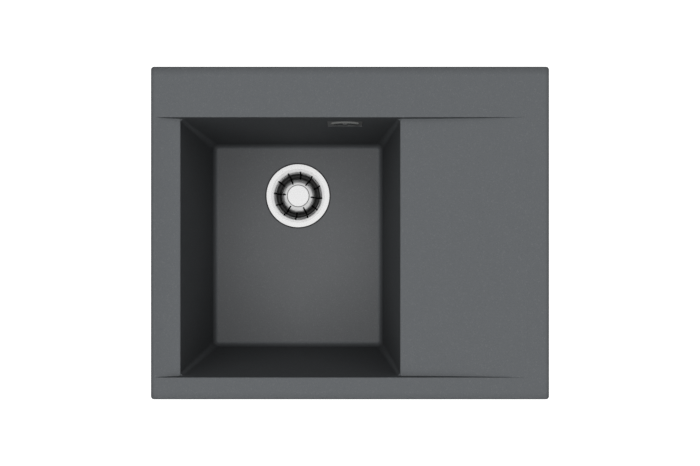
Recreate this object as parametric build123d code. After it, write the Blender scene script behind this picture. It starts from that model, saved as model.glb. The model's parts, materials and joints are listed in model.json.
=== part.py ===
from build123d import *
import os
from math import atan2, cos, degrees, hypot, pi, radians, sin, tan

# A composite kitchen sink with one bowl on the left and a sloping drainboard on the right.
# All sizes are in millimetres.
# +X is to the right, +Y is to the back, +Z is up.
# The origin is the middle of the outline, in the plane where the rim rests on the worktop.

# Sink body
SINK_WIDTH = 610.0
SINK_LENGTH = 510.0
SINK_CORNER_R = 5.0
RIM_HEIGHT = 9.0
RIM_EDGE_R = 3.5
RIM_UNDER_R = 0.8
RIM_OVERLAP = 10.0
CUTOUT_GAP = 2.0

# Bowl, measured in the plane of the rim's top
BOWL_WIDTH = 341.0
BOWL_DEPTH = 190.0
BOWL_DRAFT = 6.5
LEFT_LEDGE = 42.5
BACK_LEDGE = 78.0
FRONT_LEDGE = 34.0
BOWL_CORNER_TOP_R = 4.0
BOWL_CORNER_BASE_R = 11.2
BOWL_FLOOR_R = 9.5
BOWL_EDGE_R = 2.0
WALL_T = 9.0
FLOOR_T = 10.0

# Drainboard on the right and sloping strip on the left
BOARD_DROP = 9.5
BOARD_MARGIN_RIGHT = 34.0
BOARD_MARGIN_LEFT = 7.0
BOARD_LIP_SLOPE_RIGHT = 0.5
BOARD_LIP_SLOPE_LEFT = 6.0
BOARD_BASE_R = 2.0
BOARD_EDGE_R = 1.0
BOARD_T = 8.0
RIB_COUNT = 3
RIB_T = 6.0
RIB_DEPTH = 10.0
RIB_END_GAP = 34.0

# Tap holes that are closed by a thin skin and drilled out when the sink is fitted
TAP_HOLE_R = 17.5
TAP_HOLE_SKIN = 3.0
TAP_HOLE_FROM_BACK = 40.0
TAP_HOLE_X = (-130.0, 110.0)

# Drain hole and steel strainer
DRAIN_FROM_BACK = 111.0
DRAIN_HOLE_R = 45.2
SEAT_R = 58.2
SEAT_DEPTH = 2.2
FLANGE_R = 56.0
FLANGE_T = 1.0
FLANGE_EDGE_R = 0.5
REBATE_EDGE_R = 0.25
REBATE_R = 46.7
REBATE_DEPTH = 1.3
CUP_R = 43.6
CUP_DEPTH = 28.0
CUP_BEND_R = 4.0
CUP_WINDOW_R = 21.0
CUP_ARM_WIDTH = 7.0
CUP_ARM_COUNT = 3
CUP_ARM_ANGLE = 30.0
CUP_HUB_R = 9.0
SEAT_GASKET_T = 1.5
SEAT_GASKET_PROUD = 1.4
SEAT_GASKET_BORE_R = 48.2

# Basket
BASKET_T = 0.8
BASKET_LIP_R = 46.45
BASKET_LIP_DROP = 0.25
BASKET_OUTER_BEND_R = 6.6
BASKET_INNER_BEND_R = 9.0
BASKET_TROUGH_R = 34.8
BASKET_TROUGH_BEND_R = 3.8
BASKET_TROUGH_DEPTH = 20.0
BASKET_SIDE_MIN = 0.1
BASKET_FLAT_DROP = 7.0
SLOT_PAIR_COUNT = 6
SLOT_WIDTH = 2.8
SLOT_OUTER_R = 43.3
LONG_SLOT_INNER_R = 21.8
SHORT_SLOT_INNER_R = 29.7
SLOT_START_ANGLE = 24.0
KNOB_R = 19.0
KNOB_T = 2.0
KNOB_EDGE_R = 0.7
KNOB_RIM_T = 1.0
STEM_R = 3.4
STEM_PLUG_LENGTH = 5.5
STEM_COLLAR_R = 6.5
STEM_COLLAR_T = 2.0
SEAL_R = 26.0
SEAL_T = 2.5
SEAL_LIP_WIDTH = 4.5
SEAL_CROWN = 5.5

# Waste body under the bowl
WASTE_COLLAR_R = 56.0
WASTE_COLLAR_T = 4.0
WASTE_WALL_R = 50.0
WASTE_T = 3.0
WASTE_CHAMBER_DEPTH = 42.0
WASTE_FUNNEL_DEPTH = 12.0
BODY_GASKET_T = 3.0
OUTLET_R = 23.9
OUTLET_LENGTH = 22.0
HUB_R = 9.0
HUB_ARM_WIDTH = 5.0
HUB_ARM_COUNT = 3
HUB_HEIGHT = 16.0
INSERT_R = 6.0
INSERT_LENGTH = 12.0
SCREW_R = 4.0
SCREW_HEAD_R = 6.5
SCREW_HEAD_T = 3.5
SCREW_SOCKET_DEPTH = 7.0

# Overflow in the back wall of the bowl
OVERFLOW_FROM_MIDDLE = 84.0
OVERFLOW_DEPTH = 41.5
COVER_WIDTH = 55.0
COVER_HEIGHT = 32.0
COVER_T = 0.9
COVER_SINK = 0.3
COVER_SEAT_GAP = 0.7
COVER_CORNER_R = 1.5
LENS_WIDTH = 43.0
LENS_HEIGHT = 30.0
LENS_RISE = 7.0
LENS_PROUD = 2.5
LENS_LIP = 2.2
HOOD_FOOT = 4.0
COVER_BAR_WIDTH = 9.0
COVER_BAR_DEPTH = 3.0
OVERFLOW_SLOT_WIDTH = 36.0
OVERFLOW_SLOT_HEIGHT = 22.0
HEAD_WIDTH = 52.0
HEAD_HEIGHT = 34.0
HEAD_DEPTH = 28.0
HEAD_T = 2.5
HEAD_CORNER_R = 5.0
HEAD_GASKET_T = 2.5
HEAD_GASKET_INSET = 0.5
HEAD_POST_R = 5.0
COVER_SCREW_R = 2.4
COVER_SCREW_HEAD_R = 3.4
COVER_SCREW_HEAD_T = 2.2
COVER_SCREW_BITE = 12.0

# Ribbed overflow hose with its nuts and washers
HOSE_CREST_R = 12.0
HOSE_ROOT_R = 10.4
HOSE_BORE_R = 9.2
HOSE_PITCH = 4.5
HOSE_BEND_R = 48.0
HOSE_CUFF_LENGTH = 24.0
SPIGOT_R = 9.0
SPIGOT_T = 1.8
SPIGOT_COLLAR_R = 14.0
SPIGOT_COLLAR_LENGTH = 12.0
SPIGOT_LENGTH = 22.0
INLET_DROP = 23.0
NUT_R = 17.0
NUT_LENGTH = 20.0
NUT_OVERLAP = 8.0
NUT_GRIP_COUNT = 12
NUT_GRIP_DEPTH = 1.0
HOSE_WASHER_T = 3.0

# Mounting clamps
CLAMP_FROM_CUTOUT = 12.0
CLAMP_FROM_BACK = 100.0
CLAMP_FROM_FRONT = 60.0
CLAMP_BOSS_R = 10.0
CLAMP_BOSS_DEPTH = 24.0
DOWEL_R = 4.0
DOWEL_SKIN = 3.0
DOWEL_COLLAR_R = 7.0
DOWEL_COLLAR_T = 2.0
CLAMP_SCREW_R = 2.4
CLAMP_TIP_GAP = 2.0
CLAMP_HEAD_R = 4.8
CLAMP_HEAD_T = 3.2
CLAMP_TRAVEL = 15.0
WORKTOP_MAX = 40.0
WORKTOP_GAP = 3.0
WASHER_R = 6.5
WASHER_T = 1.2
JAW_LENGTH = 32.0
JAW_WIDTH = 14.0
JAW_T = 3.0
JAW_RISE = 6.0
JAW_TIP_WIDTH = 7.0
JAW_HUB_R = 7.5

# Clearances, and how far a cutting shape reaches past what it cuts
LOOSE_GAP = 0.3
FIT_GAP = 0.15
TIGHT_GAP = 0.05
OVERCUT = 1.0
ROUNDING_EASE = 0.03
TOOL_RISE = 12.0
LAP = 20.0

# Worked-out places
TAN_DRAFT = tan(radians(BOWL_DRAFT))
COS_DRAFT = cos(radians(BOWL_DRAFT))
SIN_DRAFT = sin(radians(BOWL_DRAFT))
CUTOUT_WIDTH = SINK_WIDTH - 2 * RIM_OVERLAP
CUTOUT_LENGTH = SINK_LENGTH - 2 * RIM_OVERLAP
BOWL_LENGTH = SINK_LENGTH - BACK_LEDGE - FRONT_LEDGE
BOWL_X = -SINK_WIDTH / 2 + LEFT_LEDGE + BOWL_WIDTH / 2
BOWL_Y = SINK_LENGTH / 2 - BACK_LEDGE - BOWL_LENGTH / 2
FLOOR_Z = RIM_HEIGHT - BOWL_DEPTH
UNDER_FLOOR_Z = FLOOR_Z - FLOOR_T
BOARD_Z = RIM_HEIGHT - BOARD_DROP
TOOL_TOP_Z = RIM_HEIGHT + TOOL_RISE

DRAIN_X = BOWL_X
DRAIN_Y = BOWL_Y + BOWL_LENGTH / 2 - DRAIN_FROM_BACK
GASKET_Z = FLOOR_Z - SEAT_DEPTH
FLANGE_Z = GASKET_Z + SEAT_GASKET_T + FLANGE_T
CUP_Z = FLANGE_Z - CUP_DEPTH
BASKET_LIP_Z = FLANGE_Z - BASKET_LIP_DROP
BASKET_FLAT_Z = FLANGE_Z - BASKET_FLAT_DROP
SEAL_TOP_Z = CUP_Z + SEAL_T + SEAL_CROWN
WASTE_TOP_Z = UNDER_FLOOR_Z - BODY_GASKET_T
CHAMBER_Z = WASTE_TOP_Z - WASTE_CHAMBER_DEPTH
OUTLET_TOP_Z = CHAMBER_Z - WASTE_FUNNEL_DEPTH
OUTLET_Z = OUTLET_TOP_Z - OUTLET_LENGTH
HUB_TOP_Z = CUP_Z - FLANGE_T - LOOSE_GAP
HUB_Z = HUB_TOP_Z - HUB_HEIGHT
INLET_Z = WASTE_TOP_Z - INLET_DROP

# The overflow's plane lies on the sloping back wall: x to the right, y up the wall, z into the bowl
OVERFLOW_X = BOWL_X + OVERFLOW_FROM_MIDDLE
OVERFLOW_Y = BOWL_Y + BOWL_LENGTH / 2 - OVERFLOW_DEPTH * TAN_DRAFT
OVERFLOW_Z = RIM_HEIGHT - OVERFLOW_DEPTH
OVERFLOW_PLANE = Plane(
    origin=(OVERFLOW_X, OVERFLOW_Y, OVERFLOW_Z),
    x_dir=(1, 0, 0),
    z_dir=(0, -COS_DRAFT, SIN_DRAFT),
)
COVER_BACK = COVER_SINK + COVER_T
HEAD_BACK = WALL_T + HEAD_GASKET_T
HEAD_MID = HEAD_BACK + HEAD_DEPTH / 2
SPIGOT_X = OVERFLOW_X
SPIGOT_Y = OVERFLOW_Y + HEAD_MID * COS_DRAFT
HEAD_LOW_Z = OVERFLOW_Z - HEAD_MID * SIN_DRAFT - HEAD_HEIGHT / 2 * COS_DRAFT

# The hose lies in one upright plane that holds the drain's axis and the upper spigot's axis
HOSE_REACH = hypot(SPIGOT_X - DRAIN_X, SPIGOT_Y - DRAIN_Y)
HOSE_ANGLE = degrees(atan2(SPIGOT_Y - DRAIN_Y, SPIGOT_X - DRAIN_X))
HOSE_GAP = SPIGOT_COLLAR_LENGTH + HOSE_WASHER_T
HOSE_LEVEL_RUN = HOSE_REACH - HOSE_BEND_R - WASTE_WALL_R - HOSE_GAP
HOSE_BEND_LENGTH = HOSE_BEND_R * radians(90)
HOSE_RISE = HEAD_LOW_Z - HOSE_GAP - (INLET_Z + HOSE_BEND_R)
HOSE_LENGTH = HOSE_LEVEL_RUN + HOSE_BEND_LENGTH + HOSE_RISE

# The left clamps hang midway between the cut-out's edge and the bowl's outer wall
BOWL_OUTSIDE_X = BOWL_X - BOWL_WIDTH / 2 - WALL_T / COS_DRAFT
CLAMP_LEFT_X = (BOWL_OUTSIDE_X - CUTOUT_WIDTH / 2) / 2
CLAMP_RIGHT_X = CUTOUT_WIDTH / 2 - CLAMP_FROM_CUTOUT
CLAMP_BACK_Y = CUTOUT_LENGTH / 2 - CLAMP_FROM_BACK
CLAMP_FRONT_Y = CLAMP_FROM_FRONT - CUTOUT_LENGTH / 2
CLAMPS = (
    (CLAMP_LEFT_X, CLAMP_BACK_Y, 90.0),
    (CLAMP_LEFT_X, CLAMP_FRONT_Y, 90.0),
    (CLAMP_RIGHT_X, CLAMP_BACK_Y, -90.0),
    (CLAMP_RIGHT_X, CLAMP_FRONT_Y, -90.0),
)
DOWEL_TOP_Z = BOARD_Z - DOWEL_SKIN
JAW_TIP_Z = -WORKTOP_MAX - WORKTOP_GAP
JAW_Z = JAW_TIP_Z - JAW_RISE - JAW_T


def wall_inset(z):
    """How far the sloping bowl wall has moved in at height z."""
    return (RIM_HEIGHT - z) * TAN_DRAFT


def bowl_section(z, spread):
    """The bowl's rounded rectangle at height z, grown outwards by spread."""
    share = (RIM_HEIGHT - z) / BOWL_DEPTH
    corner = BOWL_CORNER_TOP_R + (BOWL_CORNER_BASE_R - BOWL_CORNER_TOP_R) * share + spread
    width = BOWL_WIDTH + 2 * (spread - wall_inset(z))
    length = BOWL_LENGTH + 2 * (spread - wall_inset(z))
    return Pos(BOWL_X, BOWL_Y, z) * RectangleRounded(width, length, corner)


def bowl_solid(top, bottom, spread, floor_r):
    """A tapered bowl shape with a rounded floor edge."""
    solid = loft([bowl_section(top, spread), bowl_section(bottom, spread)], ruled=True)
    return fillet(solid.edges().group_by(Axis.Z)[0], floor_r)


BOARD_LEFT_X = BOWL_X - BOWL_WIDTH / 2 + wall_inset(BOARD_Z)
BOARD_RIGHT_X = BOWL_X + BOWL_WIDTH / 2 - wall_inset(BOARD_Z)
FLUSH_LEFT_X = -SINK_WIDTH / 2 + BOARD_MARGIN_LEFT
FLUSH_RIGHT_X = SINK_WIDTH / 2 - BOARD_MARGIN_RIGHT
BOARDS = (
    (BOARD_LEFT_X, FLUSH_LEFT_X, BOARD_LIP_SLOPE_LEFT),
    (BOARD_RIGHT_X, FLUSH_RIGHT_X, BOARD_LIP_SLOPE_RIGHT),
)


def along_y(outline, length):
    """A prism along Y, centred on the bowl's middle, from lines in X and Z."""
    face = Plane.XZ * make_face(outline)
    return Pos(0, BOWL_Y, 0) * extrude(face, length / 2, both=True)


def board_circle(edge_x, flush_x, lip_slope):
    """Centre and radius of the long arc from the bowl's edge up to the level rim."""
    side = 1 if flush_x > edge_x else -1
    run = abs(flush_x - edge_x)
    tilt = radians(lip_slope)
    radius = (run**2 + BOARD_DROP**2) / (2 * (BOARD_DROP * cos(tilt) - run * sin(tilt)))
    return edge_x - side * radius * sin(tilt), BOARD_Z + radius * cos(tilt), radius


def board_tool(edge_x, flush_x, lip_slope, below, top):
    """What lies above one board's arc, or above an arc a distance below it, up to a level."""
    side = 1 if flush_x > edge_x else -1
    centre_x, centre_z, radius = board_circle(edge_x, flush_x, lip_slope)
    inner_x = edge_x - side * LAP
    reach = radius + below
    drop = (reach**2 - (inner_x - centre_x) ** 2) ** 0.5
    inner_low = (inner_x, centre_z - drop)
    outer_x = centre_x + side * (reach**2 - (centre_z - top) ** 2) ** 0.5
    middle_x = (inner_x + outer_x) / 2
    middle = (middle_x, centre_z - (reach**2 - (middle_x - centre_x) ** 2) ** 0.5)
    arc = ThreePointArc(inner_low, middle, (outer_x, top))
    return arc + Polyline((outer_x, top), (inner_x, top), inner_low)


def board_wedge(board):
    """Everything above one board's arc."""
    return along_y(board_tool(*board, 0.0, TOOL_TOP_Z), 2 * SINK_LENGTH)


def board_band():
    """The drained band, as long as the bowl, with the bowl's own sloping ends."""
    sections = []
    for z in (TOOL_TOP_Z, BOARD_Z - LAP):
        sections.append(Pos(0, BOWL_Y, z) * Rectangle(4 * SINK_WIDTH, BOWL_LENGTH - 2 * wall_inset(z)))
    return loft(sections, ruled=True)


def board_recess(board):
    """The cutter for one board, with a rounded foot at its front and back steps."""
    cutter = board_wedge(board) & board_band()
    feet = []
    for edge in cutter.edges():
        run = edge @ 1 - edge @ 0
        if abs(run.X) > LAP and abs(run.Z) > BOARD_DROP / 2:
            feet.append(edge)
    return fillet(feet, BOARD_BASE_R)


def nose(corner, along_top, along_wall, radius):
    """Start, middle and end of the arc that rounds a corner between two directions.

    The arc starts and ends just outside the material, so that it crosses both faces.
    """
    bisector = (Vector(*along_top) + Vector(*along_wall)).normalized()
    half = bisector.get_angle(Vector(*along_top)) * pi / 180
    run = radius / tan(half)
    corner_point = Vector(*corner) - bisector * ROUNDING_EASE
    start = corner_point + Vector(*along_top) * run
    middle = corner_point + bisector * (radius / sin(half) - radius)
    end = corner_point + Vector(*along_wall) * run
    return start, middle, end


def step_rounding(side):
    """The cutter that rounds the top edge of the front or back step."""
    corner = (BOWL_Y + side * BOWL_LENGTH / 2, RIM_HEIGHT)
    start, middle, end = nose(corner, (side, 0), (-side * SIN_DRAFT, -COS_DRAFT), BOARD_EDGE_R)
    inside_y = end.X - side * BOARD_EDGE_R
    rest = Polyline(end, (inside_y, end.Y), (inside_y, TOOL_TOP_Z), (start.X, TOOL_TOP_Z), start)
    return extrude(Plane.YZ * make_face(ThreePointArc(start, middle, end) + rest), SINK_WIDTH, both=True)


def lip_rounding(edge_x, flush_x, lip_slope):
    """The cutter that rounds one board's lip, where it falls into the bowl."""
    side = 1 if flush_x > edge_x else -1
    tilt = radians(lip_slope)
    along_board = (side * cos(tilt), sin(tilt))
    start, middle, end = nose((edge_x, BOARD_Z), along_board, (-side * SIN_DRAFT, -COS_DRAFT), BOWL_EDGE_R)
    inside_x = end.X - side * LAP
    outside_x = start.X + side * (TOOL_TOP_Z - start.Y)
    rest = Polyline(end, (inside_x, end.Y), (inside_x, TOOL_TOP_Z), (outside_x, TOOL_TOP_Z), start)
    return along_y(ThreePointArc(start, middle, end) + rest, SINK_LENGTH) & board_band()


def board_underlay(board):
    """The material under one board, which hangs below the level slab inside the worktop's cut-out."""
    layer = along_y(board_tool(*board, BOARD_T, RIM_HEIGHT / 2), BOWL_LENGTH + 2 * WALL_T)
    room = Box(CUTOUT_WIDTH - 2 * CUTOUT_GAP, CUTOUT_LENGTH - 2 * CUTOUT_GAP, 2 * BOWL_DEPTH)
    return layer & room


def board_ribs():
    """Stiffening ribs under the drainboard, from the bowl wall to the right."""
    end_x = CUTOUT_WIDTH / 2 - RIB_END_GAP
    start_x = BOARD_RIGHT_X
    low_z = BOARD_Z - BOARD_T - RIB_DEPTH
    points = (
        (start_x, BOARD_Z - BOARD_T / 2),
        (start_x, low_z),
        (start_x + 2 * RIB_DEPTH, low_z),
        (end_x, 0.0),
        (end_x, BOARD_Z + BOARD_T / 4),
    )
    ribs = []
    for index in range(RIB_COUNT):
        offset = BOWL_LENGTH * ((index + 0.5) / RIB_COUNT - 0.5)
        ribs.append(Pos(0, offset, 0) * along_y(Polyline(*points, close=True), RIB_T))
    return ribs


def clamp_boss(x, y):
    """A boss under the rim for one clamp."""
    height = CLAMP_BOSS_DEPTH + RIM_HEIGHT / 2
    return Pos(x, y, RIM_HEIGHT / 2 - height) * extrude(Circle(CLAMP_BOSS_R), height)


def disc(x, y, z, radius, height):
    """An upright cylinder that starts at z."""
    return Pos(x, y, z) * extrude(Circle(radius), height)


def tube(x, y, z, outer_r, inner_r, height):
    """An upright tube that starts at z."""
    return Pos(x, y, z) * extrude(Circle(outer_r) - Circle(inner_r), height)


def drain_disc(z, radius, height):
    """An upright cylinder on the drain's axis."""
    return disc(DRAIN_X, DRAIN_Y, z, radius, height)


def drain_tube(z, outer_r, inner_r, height):
    """An upright tube on the drain's axis."""
    return tube(DRAIN_X, DRAIN_Y, z, outer_r, inner_r, height)


def drain_turned(outline):
    """A turned shape on the drain's axis from lines in radius and height."""
    return Pos(DRAIN_X, DRAIN_Y, 0) * revolve(Plane.XZ * make_face(outline), Axis.Z)


def overflow_prism(sketch, near, far):
    """A prism square to the back wall, from near to far behind the wall's inner face."""
    return OVERFLOW_PLANE * (Pos(0, 0, -far) * extrude(sketch, far - near))


def sink_body():
    slab = extrude(RectangleRounded(SINK_WIDTH, SINK_LENGTH, SINK_CORNER_R), RIM_HEIGHT)
    slab = fillet(slab.edges().group_by(Axis.Z)[-1], RIM_EDGE_R)
    slab = fillet(slab.edges().group_by(Axis.Z)[0], RIM_UNDER_R)
    body = slab + bowl_solid(RIM_HEIGHT / 2, UNDER_FLOOR_Z, WALL_T / COS_DRAFT, BOWL_FLOOR_R + FLOOR_T)
    for board in BOARDS:
        body = body + board_underlay(board)
    body = body + board_ribs()
    for x, y, _ in CLAMPS:
        body = body + clamp_boss(x, y)
    body = body - bowl_solid(TOOL_TOP_Z, FLOOR_Z, 0.0, BOWL_FLOOR_R)
    for board in BOARDS:
        body = body - board_recess(board) - lip_rounding(*board)
    for side in (-1, 1):
        body = body - (step_rounding(side) & rounded_reach())
    body = body - drain_disc(UNDER_FLOOR_Z - LAP, DRAIN_HOLE_R, FLOOR_T + 2 * LAP)
    body = body - drain_disc(GASKET_Z, SEAT_R, LAP)
    body = body - overflow_prism(SlotOverall(OVERFLOW_SLOT_WIDTH, OVERFLOW_SLOT_HEIGHT), -LAP, LAP)
    body = body - overflow_prism(cover_outline(COVER_SEAT_GAP), -LAP, COVER_BACK)
    for x in TAP_HOLE_X:
        y = SINK_LENGTH / 2 - TAP_HOLE_FROM_BACK
        body = body - disc(x, y, -LAP, TAP_HOLE_R, LAP + RIM_HEIGHT - TAP_HOLE_SKIN)
    for x, y, _ in CLAMPS:
        body = body - disc(x, y, -CLAMP_BOSS_DEPTH - LAP, DOWEL_R, DOWEL_TOP_Z + CLAMP_BOSS_DEPTH + LAP)
    return body


def rounded_reach():
    """How far the rounding of the steps reaches: over the bowl and down to both boards."""
    low = BOARD_Z - LAP
    left = BOARD_LEFT_X + LAP / 2
    right = BOARD_RIGHT_X - LAP / 2
    over_bowl = Polyline((left, low), (right, low), (right, TOOL_TOP_Z), (left, TOOL_TOP_Z), close=True)
    reach = along_y(over_bowl, 2 * SINK_LENGTH)
    for board in BOARDS:
        reach = reach + board_wedge(board)
    return reach


def flange_gasket():
    return drain_tube(GASKET_Z, FLANGE_R + SEAT_GASKET_PROUD, SEAT_GASKET_BORE_R, SEAT_GASKET_T)


def rounded_corner(face, x, z, radius):
    """The face with the corner at one point of its outline rounded."""
    corner = min(face.vertices(), key=lambda vertex: hypot(vertex.X - x, vertex.Y - z))
    return fillet(corner, radius)


def strainer_flange():
    """The steel ring, the rebate for the basket's lip and the cup, as one pressed sheet."""
    seat_z = FLANGE_Z - REBATE_DEPTH
    outer_r = CUP_R + FLANGE_T
    under_z = CUP_Z - FLANGE_T
    outline = Polyline(
        (FLANGE_R, FLANGE_Z),
        (REBATE_R, FLANGE_Z),
        (REBATE_R, seat_z),
        (CUP_R, seat_z),
        (CUP_R, CUP_Z),
        (CUP_WINDOW_R, CUP_Z),
        (CUP_WINDOW_R, under_z),
        (outer_r, under_z),
        (outer_r, seat_z - FLANGE_T),
        (REBATE_R + FLANGE_T, seat_z - FLANGE_T),
        (REBATE_R + FLANGE_T, FLANGE_Z - FLANGE_T),
        (FLANGE_R, FLANGE_Z - FLANGE_T),
        close=True,
    )
    sheet = make_face(outline)
    sheet = rounded_corner(sheet, CUP_R, CUP_Z, CUP_BEND_R)
    sheet = rounded_corner(sheet, outer_r, under_z, CUP_BEND_R + FLANGE_T)
    sheet = rounded_corner(sheet, FLANGE_R, FLANGE_Z, FLANGE_EDGE_R)
    sheet = rounded_corner(sheet, REBATE_R, FLANGE_Z, REBATE_EDGE_R)
    sheet = rounded_corner(sheet, CUP_R, seat_z, FLANGE_EDGE_R)
    flange = Pos(DRAIN_X, DRAIN_Y, 0) * revolve(Plane.XZ * sheet, Axis.Z)
    flange = flange + drain_disc(under_z, CUP_HUB_R, FLANGE_T)
    for index in range(CUP_ARM_COUNT):
        arm = Pos(CUP_WINDOW_R / 2, 0, 0) * Rectangle(CUP_WINDOW_R + FLANGE_T, CUP_ARM_WIDTH)
        turn = Rot(0, 0, CUP_ARM_ANGLE + 360 * index / CUP_ARM_COUNT)
        flange = flange + Pos(DRAIN_X, DRAIN_Y, under_z) * turn * extrude(arm, FLANGE_T)
    return flange - drain_disc(CUP_Z - LAP / 2, SCREW_R + LOOSE_GAP, LAP)


def basket_curve(below):
    """The basket's upper surface from lip to middle, or a surface a distance below it."""
    wall_out = BASKET_TROUGH_R + BASKET_TROUGH_BEND_R
    wall_in = BASKET_TROUGH_R - BASKET_TROUGH_BEND_R
    trough_z = FLANGE_Z - BASKET_TROUGH_DEPTH + BASKET_TROUGH_BEND_R
    out_x = wall_out + BASKET_OUTER_BEND_R
    out_z = BASKET_LIP_Z - BASKET_OUTER_BEND_R
    inner_bend_r = min(BASKET_INNER_BEND_R, BASKET_FLAT_Z - trough_z - BASKET_SIDE_MIN)
    in_x = wall_in - inner_bend_r
    in_z = BASKET_FLAT_Z - inner_bend_r
    lip = Line((BASKET_LIP_R, BASKET_LIP_Z - below), (out_x, BASKET_LIP_Z - below))
    bend_out = CenterArc((out_x, out_z), BASKET_OUTER_BEND_R - below, 90, 90)
    side_out = Line((wall_out + below, out_z), (wall_out + below, trough_z))
    trough = CenterArc((BASKET_TROUGH_R, trough_z), BASKET_TROUGH_BEND_R + below, 180, 180)
    side_in = Line((wall_in - below, trough_z), (wall_in - below, in_z))
    bend_in = CenterArc((in_x, in_z), inner_bend_r - below, 0, 90)
    flat = Line((in_x, BASKET_FLAT_Z - below), (STEM_R + FIT_GAP, BASKET_FLAT_Z - below))
    return lip + bend_out + side_out + trough + side_in + bend_in + flat


def strainer_basket():
    """A pressed dish: rolled lip, deep trough and a dome in the middle, with slots."""
    lip_end = Line((BASKET_LIP_R, BASKET_LIP_Z), (BASKET_LIP_R, BASKET_LIP_Z - BASKET_T))
    bore_r = STEM_R + FIT_GAP
    bore_end = Line((bore_r, BASKET_FLAT_Z), (bore_r, BASKET_FLAT_Z - BASKET_T))
    basket = drain_turned(basket_curve(0.0) + basket_curve(BASKET_T) + lip_end + bore_end)
    for index in range(2 * SLOT_PAIR_COUNT):
        inner = LONG_SLOT_INNER_R if index % 2 else SHORT_SLOT_INNER_R
        length = SLOT_OUTER_R - inner
        slot = Pos(inner + length / 2, 0) * SlotOverall(length, SLOT_WIDTH)
        turn = Rot(0, 0, SLOT_START_ANGLE + 180 * index / SLOT_PAIR_COUNT)
        basket = basket - Pos(DRAIN_X, DRAIN_Y, CUP_Z) * turn * extrude(slot, CUP_DEPTH + LAP)
    return basket


def basket_knob():
    """A flat disc with a rounded edge and a hollow underside, which stands on the dome."""
    knob = drain_disc(BASKET_FLAT_Z, KNOB_R, KNOB_T)
    knob = fillet(knob.edges().group_by(Axis.Z)[-1], KNOB_EDGE_R)
    knob = knob - drain_tube(BASKET_FLAT_Z, KNOB_R - KNOB_RIM_T, STEM_COLLAR_R, KNOB_T - KNOB_RIM_T)
    return knob - drain_disc(BASKET_FLAT_Z, STEM_R + TIGHT_GAP, KNOB_T - KNOB_RIM_T)


def basket_stem():
    """A rod from the knob through basket and seal, with a rounded plug end."""
    top_z = BASKET_FLAT_Z + KNOB_T - KNOB_RIM_T
    end_z = CUP_Z + SCREW_HEAD_T - STEM_PLUG_LENGTH
    stem = drain_disc(end_z, STEM_R, top_z - end_z)
    stem = fillet(stem.edges().group_by(Axis.Z)[0], STEM_R / 2)
    upper = drain_disc(BASKET_FLAT_Z - BASKET_T - STEM_COLLAR_T, STEM_COLLAR_R, STEM_COLLAR_T)
    lower = drain_disc(SEAL_TOP_Z, STEM_COLLAR_R, STEM_COLLAR_T)
    return stem + upper + lower


def basket_seal():
    """A dished rubber disc whose rim closes the opening in the cup's floor."""
    bore_r = STEM_R + TIGHT_GAP
    inner = SEAL_R - SEAL_LIP_WIDTH
    crown_z = CUP_Z + SEAL_CROWN
    outline = Polyline(
        (bore_r, crown_z),
        (inner - SEAL_CROWN, crown_z),
        (inner, CUP_Z),
        (SEAL_R, CUP_Z),
        (SEAL_R, CUP_Z + SEAL_T / 2),
        (inner - SEAL_CROWN + SEAL_LIP_WIDTH / 2, SEAL_TOP_Z),
        (bore_r, SEAL_TOP_Z),
        close=True,
    )
    return drain_turned(outline)


def body_gasket():
    return drain_tube(WASTE_TOP_Z, WASTE_COLLAR_R - LOOSE_GAP, SEAT_GASKET_BORE_R, BODY_GASKET_T)


def waste_body():
    """A cup with a collar, a funnel, an outlet pipe, a middle hub and a side inlet."""
    bore_r = OUTLET_R - WASTE_T
    inner_r = WASTE_WALL_R - WASTE_T
    outline = Polyline(
        (inner_r, WASTE_TOP_Z),
        (WASTE_COLLAR_R, WASTE_TOP_Z),
        (WASTE_COLLAR_R, WASTE_TOP_Z - WASTE_COLLAR_T),
        (WASTE_WALL_R, WASTE_TOP_Z - WASTE_COLLAR_T),
        (WASTE_WALL_R, CHAMBER_Z),
        (OUTLET_R, OUTLET_TOP_Z),
        (OUTLET_R, OUTLET_Z),
        (bore_r, OUTLET_Z),
        (bore_r, OUTLET_TOP_Z + WASTE_T),
        (inner_r, CHAMBER_Z + WASTE_T),
        close=True,
    )
    body = drain_turned(outline)
    inside = drain_disc(OUTLET_Z - LAP, inner_r, WASTE_TOP_Z - OUTLET_Z + 2 * LAP)
    collar, spigot, bore = inlet_pieces()
    body = body + ((collar + spigot) - inside)
    body = body - bore
    arms = drain_disc(HUB_Z, HUB_R, HUB_HEIGHT)
    for index in range(HUB_ARM_COUNT):
        arm = Pos(WASTE_WALL_R / 2, 0, 0) * Rectangle(WASTE_WALL_R - WASTE_T, HUB_ARM_WIDTH)
        turn = Rot(0, 0, HOSE_ANGLE + 180 * (2 * index + 1) / HUB_ARM_COUNT)
        arms = arms + Pos(DRAIN_X, DRAIN_Y, HUB_Z) * turn * extrude(arm, HUB_HEIGHT / 2)
    body = body + arms
    return body - drain_disc(HUB_TOP_Z - INSERT_LENGTH, INSERT_R, INSERT_LENGTH + LAP)


def screw_insert():
    z = HUB_TOP_Z - INSERT_LENGTH
    return drain_tube(z, INSERT_R, SCREW_R, INSERT_LENGTH)


def strainer_screw():
    """A screw whose hollow head takes the basket's stem."""
    head = drain_disc(CUP_Z, SCREW_HEAD_R, SCREW_HEAD_T)
    tip_z = HUB_TOP_Z - INSERT_LENGTH + LOOSE_GAP
    shank = drain_disc(tip_z, SCREW_R - TIGHT_GAP, CUP_Z - tip_z)
    socket = drain_disc(CUP_Z + SCREW_HEAD_T - SCREW_SOCKET_DEPTH, STEM_R + FIT_GAP, SCREW_SOCKET_DEPTH)
    return head + shank - socket


def along_inlet(radius, start, length):
    """A cylinder on the inlet's level axis, measured from the drain's axis."""
    spot = Pos(DRAIN_X, DRAIN_Y, INLET_Z) * Rot(0, 0, HOSE_ANGLE) * Rot(0, 90, 0)
    return spot * Pos(0, 0, start) * extrude(Circle(radius), length)


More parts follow.
